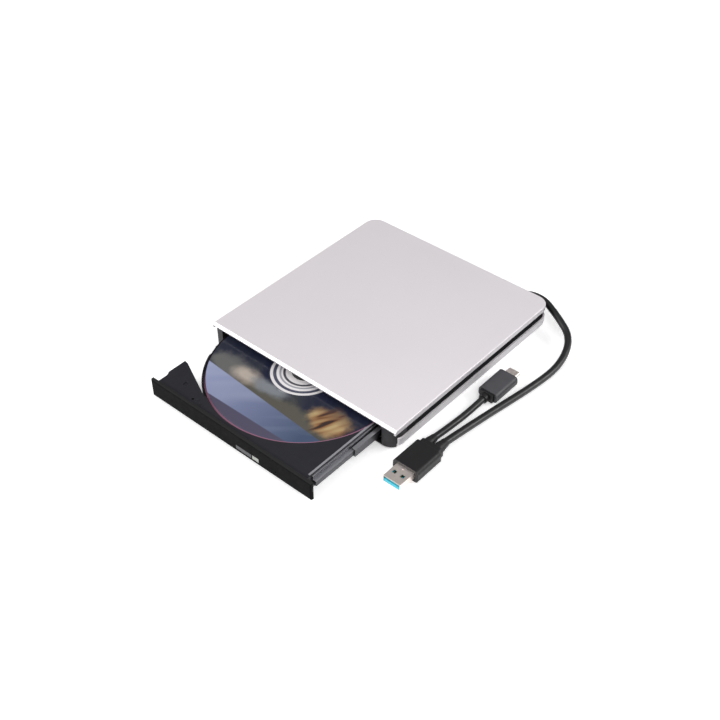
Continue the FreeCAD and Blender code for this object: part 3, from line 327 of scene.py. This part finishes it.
def metal(name, colour, rough, stretch=(1, 1, 1), depth=0.002, painted_top_highlight=None):
    """Sheet or turned metal, with drawn lines along the stretched axis, a painted highlight along sharp
    edges, and a painted highlight colour on the faces that look up when one is given.
    """
    shade = Shade(name)
    stains = shade.noise(6.0, 4.0)
    plain = shade.mix(stains, lighter(colour, -0.10), lighter(colour, 0.06))
    # When given, faces that look up take a pale colour: a painted highlight.
    if painted_top_highlight:
        plain = shade.mix(shade.facing_up(), plain, painted_top_highlight)
    # Sharp edges turn pale: a painted highlight.
    bright = tuple(part * 0.5 + 0.45 for part in colour)
    shade.set(Metallic=1.0, Base_Color=shade.mix(shade.edges(0.25, 0.8), plain, bright))
    lines = shade.noise(DRAWN_LINE, 3.0, stretch)
    shade.set(Roughness=shade.between(lines, 0.3, 0.7, rough - 0.07, rough + 0.07))
    shade.bump(lines, depth)
    return shade.material


# ---------------------------------------------------------------- materials

def satin_silver():
    """The case's anodised look: a very fine sparkle under a soft lilac satin, a painted highlight along the
    cut edges, and painted shade on the upright sides.
    """
    shade = Shade("satin_silver")
    clouds = shade.noise(45.0, 2.0)
    tint = shade.mix(clouds, (0.83, 0.785, 0.815), (0.86, 0.813, 0.844))
    # Upright faces get a darker grey: painted shade on the sides.
    tint = shade.mix(shade.facing_up(), (0.50, 0.480, 0.500), tint)
    sparkle = shade.noise(0.12, 1.0)
    speckled = shade.mix(shade.between(sparkle, 0.35, 0.65, 0.0, 0.08), tint, (0.9, 0.9, 0.92))
    # Sharp edges turn near white: a painted highlight.
    colour = shade.mix(shade.edges(0.5, 0.9), speckled, (0.90, 0.90, 0.92))
    shade.set(Base_Color=colour, Metallic=0.30, Coat_Weight=0.10, Coat_Roughness=0.35)
    shade.set(Roughness=shade.between(shade.noise(2.5, 4.0), 0.3, 0.7, 0.42, 0.45))
    shade.bump(sparkle, 0.0015)
    return shade.material


HIGHLIGHT_STRIP_WIDTH, HIGHLIGHT_STRIP_DEPTH, HIGHLIGHT_STRIP_FADE = 1.80, 0.38, 0.08


def tray_plastic():
    """The tray's dark moulding, with a pale painted highlight on top of the bead along its right edge."""
    material = moulded("tray_plastic", (0.018, 0.018, 0.023), 0.50, depth=0.010, gloss=0.25)
    shade = Shade("tray_plastic", material)
    split = shade.add("ShaderNodeSeparateXYZ", {0: shade.place})
    right, _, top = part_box("tray")[1]
    inner, lower = right - HIGHLIGHT_STRIP_WIDTH * MM, top - HIGHLIGHT_STRIP_DEPTH * MM
    sideways = shade.between(split.outputs["X"], inner, inner + HIGHLIGHT_STRIP_FADE * MM)
    upwards = shade.between(split.outputs["Z"], lower, lower + HIGHLIGHT_STRIP_FADE * MM)
    # A pale band on top of the bead: a painted highlight.
    painted_highlight_strip = shade.maths("MULTIPLY", sideways, upwards)
    plain = shade.shader.inputs["Base Color"].links[0].from_socket
    shade.set(Base_Color=shade.mix(painted_highlight_strip, plain, (0.24, 0.24, 0.26)))
    return material


def circuit_board():
    """Green lacquer over a diagonal mesh of copper."""
    shade = Shade("circuit_board")
    cells = shade.add("ShaderNodeTexBrick", {
        "Vector": shade.mapped(turn=45), "Scale": 1 / (2.2 * MM), "Mortar Size": 0.06,
        "Color1": (0.010, 0.10, 0.035, 1), "Color2": (0.012, 0.13, 0.045, 1), "Mortar": (0.02, 0.22, 0.08, 1),
    })
    shade.set(Base_Color=cells.outputs[0], Roughness=0.32, Specular_IOR_Level=0.5)
    shade.set(Coat_Weight=0.4, Coat_Roughness=0.2)
    shade.bump(cells.outputs[1], 0.02)
    return shade.material


def glass(name, colour, rough):
    shade = Shade(name)
    shade.set(Base_Color=(*colour, 1), Transmission_Weight=0.85, IOR=1.5, Coat_Weight=0.3)
    shade.set(Roughness=shade.between(shade.noise(1.0), 0.3, 0.7, rough, rough + 0.05))
    return shade.material


def printed_disc():
    """A generic printed label: a pale blue band, a dark picture area, a mirror edge ring whose colour is a
    painted reflection, near black at the far left and pink elsewhere, and a plain hub.
    """
    shade = Shade("disc_print")
    place = shade.mapped(centre=tuple(DISC_CENTRE), stretch=(MM, MM, MM))
    split = shade.add("ShaderNodeSeparateXYZ", {0: place})
    across, along = split.outputs["X"], split.outputs["Y"]
    radius = shade.maths("SQRT", shade.maths(
        "ADD", shade.maths("MULTIPLY", across, across), shade.maths("MULTIPLY", along, along)
    ))

    def ring(inner, outer, soft=0.15):
        """1 between two radii."""
        after = shade.between(radius, inner - soft, inner + soft)
        before = shade.between(radius, outer - soft, outer + soft, 1.0, 0.0)
        return shade.maths("MULTIPLY", after, before)

    def below(line_at_centre, slope, soft=0.3):
        """1 on the side of a slanted line that faces the tray's front."""
        line = shade.maths("MULTIPLY_ADD", across, slope, line_at_centre)
        return shade.between(shade.maths("SUBTRACT", along, line), -soft, soft, 1.0, 0.0)

    def blob(x, y, width, depth, soft=0.35):
        """1 inside a soft-edged oval, in millimetres from the disc's centre, whose outline wanders."""
        dx = shade.maths("DIVIDE", shade.maths("SUBTRACT", across, x), width)
        dy = shade.maths("DIVIDE", shade.maths("SUBTRACT", along, y), depth)
        reach = shade.maths("SQRT", shade.maths(
            "ADD", shade.maths("MULTIPLY", dx, dx), shade.maths("MULTIPLY", dy, dy)
        ))
        wander = shade.between(shade.noise(7.0, 4.0), 0.2, 0.8, -0.3, 0.3)
        return shade.between(shade.maths("ADD", reach, wander), 1 - soft, 1 + soft, 1.0, 0.0, smooth=True)

    marble = shade.noise(12.0, 5.0, stretch=(1, 2.5, 1), turn=25)
    picture = shade.mix(shade.between(marble, 0.35, 0.65), (0.010, 0.012, 0.034), (0.040, 0.043, 0.050))
    picture = shade.mix(blob(4, -33, 44, 9), picture, (0.088, 0.083, 0.068))
    picture = shade.mix(blob(-38, -24, 15, 9), picture, (0.125, 0.124, 0.122))
    picture = shade.mix(blob(-24, -25, 9, 5, 0.7), picture, (0.42, 0.36, 0.31))
    picture = shade.mix(blob(-6, -24, 12, 4.5, 0.6), picture, (0.190, 0.205, 0.225))
    curls = shade.noise(5.5, 1.5, stretch=(1, 4.5, 1), turn=-28)
    warm = shade.mix(shade.between(curls, 0.36, 0.60), (0.42, 0.30, 0.150), (0.20, 0.085, 0.035))
    picture = shade.mix(blob(40, -22, 13, 10.5, 0.3), picture, warm)
    shadow = shade.maths("MULTIPLY", shade.between(curls, 0.56, 0.64), blob(41, -23, 14, 11))
    picture = shade.mix(shadow, picture, (0.040, 0.024, 0.020))
    far = shade.between(along, -22, -6, 0.0, 0.85)
    picture = shade.mix(far, picture, (0.012, 0.015, 0.036))
    blue = shade.mix(shade.between(across, -48, 36), (0.255, 0.285, 0.455), (0.055, 0.078, 0.140))
    sheen = shade.between(shade.noise(16.0, 2.0, stretch=(1, 6, 1), turn=-50), 0.40, 0.75, 0.0, 0.35)
    blue = shade.mix(sheen, blue, (0.42, 0.46, 0.58))
    picture = shade.mix(below(-33.6, -0.069), picture, blue)
    picture = shade.mix(below(-50.0, 0.01), picture, (0.078, 0.070, 0.112))
    # The mirror edge ring's colour, near black at the far left and pink elsewhere, is a painted reflection.
    rim_painted_reflection = shade.mix(shade.between(across, -46, -18), (0.020, 0.016, 0.022), (0.46, 0.20, 0.31))
    label = shade.mix(ring(58.9, 60.5), picture, rim_painted_reflection)
    label = shade.mix(ring(0, 20.7), label, (0.74, 0.71, 0.72))
    label = shade.mix(ring(16.9, 18.9), label, (0.075, 0.080, 0.115))
    label = shade.mix(ring(14.0, 15.2), label, (0.30, 0.31, 0.34))
    label = shade.mix(ring(11.4, 12.9), label, (0.065, 0.065, 0.080))
    shade.set(Base_Color=label, Coat_Weight=0.12, Coat_Roughness=0.10, Specular_IOR_Level=0.35)
    shade.set(Metallic=shade.maths("MULTIPLY", ring(58.9, 60.5), 0.6))
    shade.set(Roughness=shade.between(shade.noise(4.0, 3.0), 0.3, 0.7, 0.20, 0.27))
    shade.bump(shade.noise(0.25, 2.0), 0.0006)
    return shade.material


EDGE_ROUND = {
    0.35: ["rubber_feet"],
    0.3: ["bottom_shell", "mid_frame", "bezel", "usb_a_overmould"],
    0.25: ["top_shell", "usb_c_overmould", "usb_c_collar"],
    0.2: ["tray", "eject_button", "indicator_lens"],
    0.15: ["disc_hub"],
    0.12: [
        "usb_a_shell", "usb_a_tongue", "right_slide_rail", "left_slide_rail", "right_guide_channel",
        "left_guide_channel", "right_runner", "left_runner", "drive_cover",
    ],
    0.1: ["usb_c_shell", "turntable", "case_screws"],
}
SHARP_EDGE = math.radians(38)


def round_edges():
    """Breaks the CAD pieces' sharp edges, so that they catch the light."""
    for radius, names in EDGE_ROUND.items():
        for name in names:
            bevel = frame["nodes"][name].modifiers.new("broken_edge", "BEVEL")
            bevel.width = radius * MM
            bevel.segments = 2
            bevel.limit_method = "ANGLE"
            bevel.angle_limit = SHARP_EDGE
            bevel.harden_normals = True


build_camera()
cords = [build_cord(USB_CABLE), build_cord(PIGTAIL)]

finishes = {
    "case_silver": satin_silver(),
    "frame_black": moulded("frame_plastic", (0.022, 0.022, 0.025), 0.5),
    "foot_rubber": moulded("foot_rubber", (0.02, 0.02, 0.02), 0.8, gloss=0.2),
    "screw_steel": metal("screw_steel", (0.55, 0.55, 0.56), 0.3, stretch=(1, 1, 4)),
    "cable_black": moulded("cable_jacket", (0.009, 0.009, 0.010), 0.34, depth=0.004, gloss=0.5),
    "circuit_board": circuit_board(),
    "chip_black": moulded("chip_epoxy", (0.03, 0.03, 0.032), 0.55),
    "connector_black": moulded("connector_plastic", (0.035, 0.035, 0.04), 0.45),
    "plug_black": moulded("plug_moulding", (0.012, 0.012, 0.013), 0.42),
    "plug_grey": moulded("plug_grey_moulding", (0.070, 0.070, 0.077), 0.40),
    "plug_steel": metal("plug_steel", (0.97, 0.86, 0.81), 0.42, stretch=(1, 6, 1), depth=0.0008),
    "insulator_blue": moulded("insulator_blue", (0.05, 0.50, 0.64), 0.3),
    "contact_gold": metal("contact_gold", (0.85, 0.62, 0.25), 0.25, depth=0.0008),
    "sheet_steel": metal("sheet_steel", (0.58, 0.59, 0.60), 0.35, stretch=(1, 8, 1)),
    # The dark rail steel takes a pale colour on faces that look up: a painted highlight.
    "rail_steel": metal("rail_steel", (0.10, 0.10, 0.11), 0.36, stretch=(1, 20, 1), painted_top_highlight=(0.55, 0.55, 0.58)),
    "flex_film": moulded("flex_film", (0.72, 0.73, 0.76), 0.35),
    "tray_black": tray_plastic(),
    # The bezel's faces that look up are made lighter: painted light from above.
    "bezel_black": moulded(
        "bezel_plastic", (0.003, 0.003, 0.0035), 0.55, depth=0.003, gloss=0.04, painted_top_light=0.020
    ),
    "button_black": moulded("button_plastic", (0.075, 0.075, 0.080), 0.35, depth=0.002),
    "lens_white": moulded("indicator_lens", (0.34, 0.35, 0.32), 0.3, depth=0.001),
    "latch_white": moulded("acetal", (0.78, 0.78, 0.75), 0.4),
    "coil_copper": metal("coil_copper", (0.55, 0.28, 0.12), 0.35),
    "hub_black": moulded("hub_plastic", (0.03, 0.03, 0.032), 0.45),
    "disc_print": moulded("disc_plain", (0.2, 0.25, 0.4), 0.2, depth=0.0005),
    "sled_grey": moulded("sled_plastic", (0.14, 0.14, 0.15), 0.5),
    "lens_glass": glass("lens_glass", (0.8, 0.88, 1.0), 0.02),
}


def paint_nodes():
    """Gives every CAD node and cord the finish that its slot names."""
    slots = {part["node"]: part["material_slot"] for part in frame["record"]["subparts"]}
    for name, piece in frame["nodes"].items():
        piece.data.materials.clear()
        piece.data.materials.append(finishes[slots[name]])
    for cord in cords:
        cord.data.materials.append(finishes["cable_black"])


# ---------------------------------------------------------------- studio

def area_light(name, place, size, power):
    """A rectangular lamp that looks at the frame's origin."""
    lamp = bpy.data.lights.new(name, "AREA")
    lamp.shape = "RECTANGLE"
    lamp.size, lamp.size_y = size
    lamp.energy = power
    light = bpy.data.objects.new(name, lamp)
    light.location = place
    light.rotation_mode = "QUATERNION"
    light.rotation_quaternion = (-Vector(place)).to_track_quat("-Z", "Y")
    scene.collection.objects.link(light)


FLOOR_WIDTH, FLOOR_CELLS = 24, 64
FLOOR_GAP = 0.0001
FLOOR_GLOW = 0.38
BACKDROP_START, BACKDROP_RISE = 4, 2.8
SKY_HORIZON, SKY_TOP = 0.95, 13.4
SOFTBOX_EDGE, SOFTBOX_FULL = 0.55, 0.95


def build_sky():
    """A softbox overhead: bright near the top, dim towards the horizon."""
    world = bpy.data.worlds.new("studio")
    scene.world = world
    world.use_nodes = True
    nodes, links = world.node_tree.nodes, world.node_tree.links
    direction = nodes.new("ShaderNodeTexCoord").outputs["Generated"]
    split = nodes.new("ShaderNodeSeparateXYZ")
    rise = nodes.new("ShaderNodeMapRange")
    rise.interpolation_type = "SMOOTHSTEP"
    limits = {"From Min": SOFTBOX_EDGE, "From Max": SOFTBOX_FULL, "To Min": SKY_HORIZON, "To Max": SKY_TOP}
    for socket, value in limits.items():
        rise.inputs[socket].default_value = value
    links.new(direction, split.inputs[0])
    links.new(split.outputs["Z"], rise.inputs["Value"])
    links.new(rise.outputs[0], nodes["Background"].inputs["Strength"])


def build_studio():
    """A pale floor that curves up far away, the sky and three soft lamps."""
    cells = {"x_subdivisions": FLOOR_CELLS, "y_subdivisions": FLOOR_CELLS}
    bpy.ops.mesh.primitive_grid_add(size=FLOOR_WIDTH, location=(0, 0, -FLOOR_GAP), **cells)
    floor = bpy.context.object
    floor.name = "studio_floor"
    for corner in floor.data.vertices:
        beyond = max(0, corner.co.xy.length - BACKDROP_START) / (FLOOR_WIDTH / 2 - BACKDROP_START)
        corner.co.z += BACKDROP_RISE * min(1, beyond) ** 2
    shade = Shade("studio_floor")
    shade.set(Base_Color=(0.93, 0.93, 0.93, 1), Roughness=0.9, Specular_IOR_Level=0.1)
    shade.set(Emission_Color=(1, 1, 1, 1), Emission_Strength=FLOOR_GLOW)
    floor.data.materials.append(shade.material)
    build_sky()
    area_light("front_key", (-1.2, -1.6, 1.35), (1.3, 0.9), 45.0)
    area_light("right_fill", (0.30, -0.10, 0.30), (0.22, 0.22), 0.5)
    area_light("side_rim", (1.5, 1.3, 1.15), (0.9, 0.9), 20.0)
    scene.view_settings.view_transform = "Standard"


paint_nodes()
round_edges()
build_disc()
build_lens()
build_studio()
